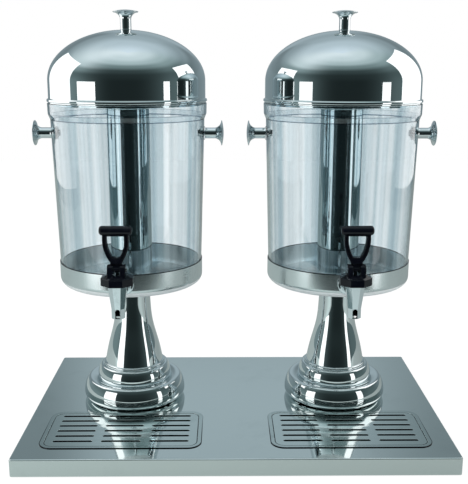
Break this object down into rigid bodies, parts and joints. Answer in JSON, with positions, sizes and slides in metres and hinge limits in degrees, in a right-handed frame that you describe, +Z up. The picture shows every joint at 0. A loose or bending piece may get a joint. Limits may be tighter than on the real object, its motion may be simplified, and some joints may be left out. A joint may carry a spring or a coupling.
{
  "type": "juice dispenser",
  "caption": "Clear lidded drink jars on pedestals, each with a lever tap, side by side on a flat tray with slotted drip grids.",
  "frame": {"origin": "on the table under the centre of the tray", "axes": "+X to the right seen from the front, +Y to the back (the taps face -Y), +Z up"},
  "size_m": [0.57, 0.358, 0.5793],
  "materials": {
    "tray_steel": "polished sheet, slightly satin",
    "polished_steel": "mirror polished",
    "dish_steel": "satin polished",
    "turned_steel": "mirror polished, turned",
    "grid_steel": "polished sheet with punched slots",
    "pan_steel": "pressed sheet",
    "screw_steel": "plain fasteners",
    "pin_steel": "ground rod",
    "tap_chrome": "plated, bright",
    "clear_jar": "clear, glossy",
    "black_plastic": "moulded, soft gloss",
    "black_rubber": "matt",
    "white_silicone": "matt, translucent white"
  },
  "bodies": {
    "base": {"base_tray": "tray_steel", "feet": "black_rubber", "left_pedestal": "polished_steel", "left_base_dish": "dish_steel", "left_dish_gasket": "white_silicone", "left_jar": "clear_jar", "left_side_knob_minus_x": "turned_steel", "left_side_knob_plus_x": "turned_steel", "left_side_knob_washers": "white_silicone", "left_side_knob_screws": "screw_steel", "left_ice_tube": "polished_steel", "left_ice_tube_gasket": "white_silicone", "left_tie_rod": "screw_steel", "left_spreader_washer": "screw_steel", "left_tie_nut": "screw_steel", "left_tap_body": "tap_chrome", "left_tap_outer_washer": "black_rubber", "left_tap_inner_washer": "black_rubber", "left_tap_nut": "tap_chrome", "left_tap_bonnet": "black_plastic", "left_drip_pan": "pan_steel", "right_pedestal": "polished_steel", "right_base_dish": "dish_steel", "right_dish_gasket": "white_silicone", "right_jar": "clear_jar", "right_side_knob_minus_x": "turned_steel", "right_side_knob_plus_x": "turned_steel", "right_side_knob_washers": "white_silicone", "right_side_knob_screws": "screw_steel", "right_ice_tube": "polished_steel", "right_ice_tube_gasket": "white_silicone", "right_tie_rod": "screw_steel", "right_spreader_washer": "screw_steel", "right_tie_nut": "screw_steel", "right_tap_body": "tap_chrome", "right_tap_outer_washer": "black_rubber", "right_tap_inner_washer": "black_rubber", "right_tap_nut": "tap_chrome", "right_tap_bonnet": "black_plastic", "right_drip_pan": "pan_steel"},
    "left_lid": {"left_lid": "polished_steel", "left_lid_knob": "turned_steel", "left_lid_knob_screw": "screw_steel"},
    "left_lever": {"left_tap_lever": "black_plastic", "left_tap_lever_pin": "pin_steel"},
    "left_valve": {"left_tap_stem": "pin_steel", "left_seat_cup": "white_silicone"},
    "left_grid": {"left_drip_grid": "grid_steel"},
    "right_lid": {"right_lid": "polished_steel", "right_lid_knob": "turned_steel", "right_lid_knob_screw": "screw_steel"},
    "right_lever": {"right_tap_lever": "black_plastic", "right_tap_lever_pin": "pin_steel"},
    "right_valve": {"right_tap_stem": "pin_steel", "right_seat_cup": "white_silicone"},
    "right_grid": {"right_drip_grid": "grid_steel"}
  },
  "joints": [
    {"name": "left_lid_lift", "type": "slide", "parent": "base", "child": "left_lid", "axis": [0, 0, 1], "range_m": [0, 0.12]},
    {"name": "left_lever_tilt", "type": "hinge", "parent": "base", "child": "left_lever", "pos_m": [-0.149, -0.1335, 0.2584], "axis": [1, 0, 0], "range_deg": [0, 30], "stiffness_Nm_per_rad": 0.076, "springref_deg": -17.19},
    {"name": "left_valve_lift", "type": "slide", "parent": "base", "child": "left_valve", "axis": [0, 0, 1], "range_m": [0, 0.0026], "deforming": ["left_seat_cup"]},
    {"name": "left_grid_lift", "type": "slide", "parent": "base", "child": "left_grid", "axis": [0, 0, 1], "range_m": [0, 0.1]},
    {"name": "right_lid_lift", "type": "slide", "parent": "base", "child": "right_lid", "axis": [0, 0, 1], "range_m": [0, 0.12]},
    {"name": "right_lever_tilt", "type": "hinge", "parent": "base", "child": "right_lever", "pos_m": [0.149, -0.1335, 0.2584], "axis": [1, 0, 0], "range_deg": [0, 30], "stiffness_Nm_per_rad": 0.076, "springref_deg": -17.19},
    {"name": "right_valve_lift", "type": "slide", "parent": "base", "child": "right_valve", "axis": [0, 0, 1], "range_m": [0, 0.0026], "deforming": ["right_seat_cup"]},
    {"name": "right_grid_lift", "type": "slide", "parent": "base", "child": "right_grid", "axis": [0, 0, 1], "range_m": [0, 0.1]}
  ],
  "couplings": [
    {"joint": "left_valve_lift", "follows": "left_lever_tilt", "m_per_rad": 0.004775},
    {"joint": "right_valve_lift", "follows": "right_lever_tilt", "m_per_rad": 0.004775}
  ]
}
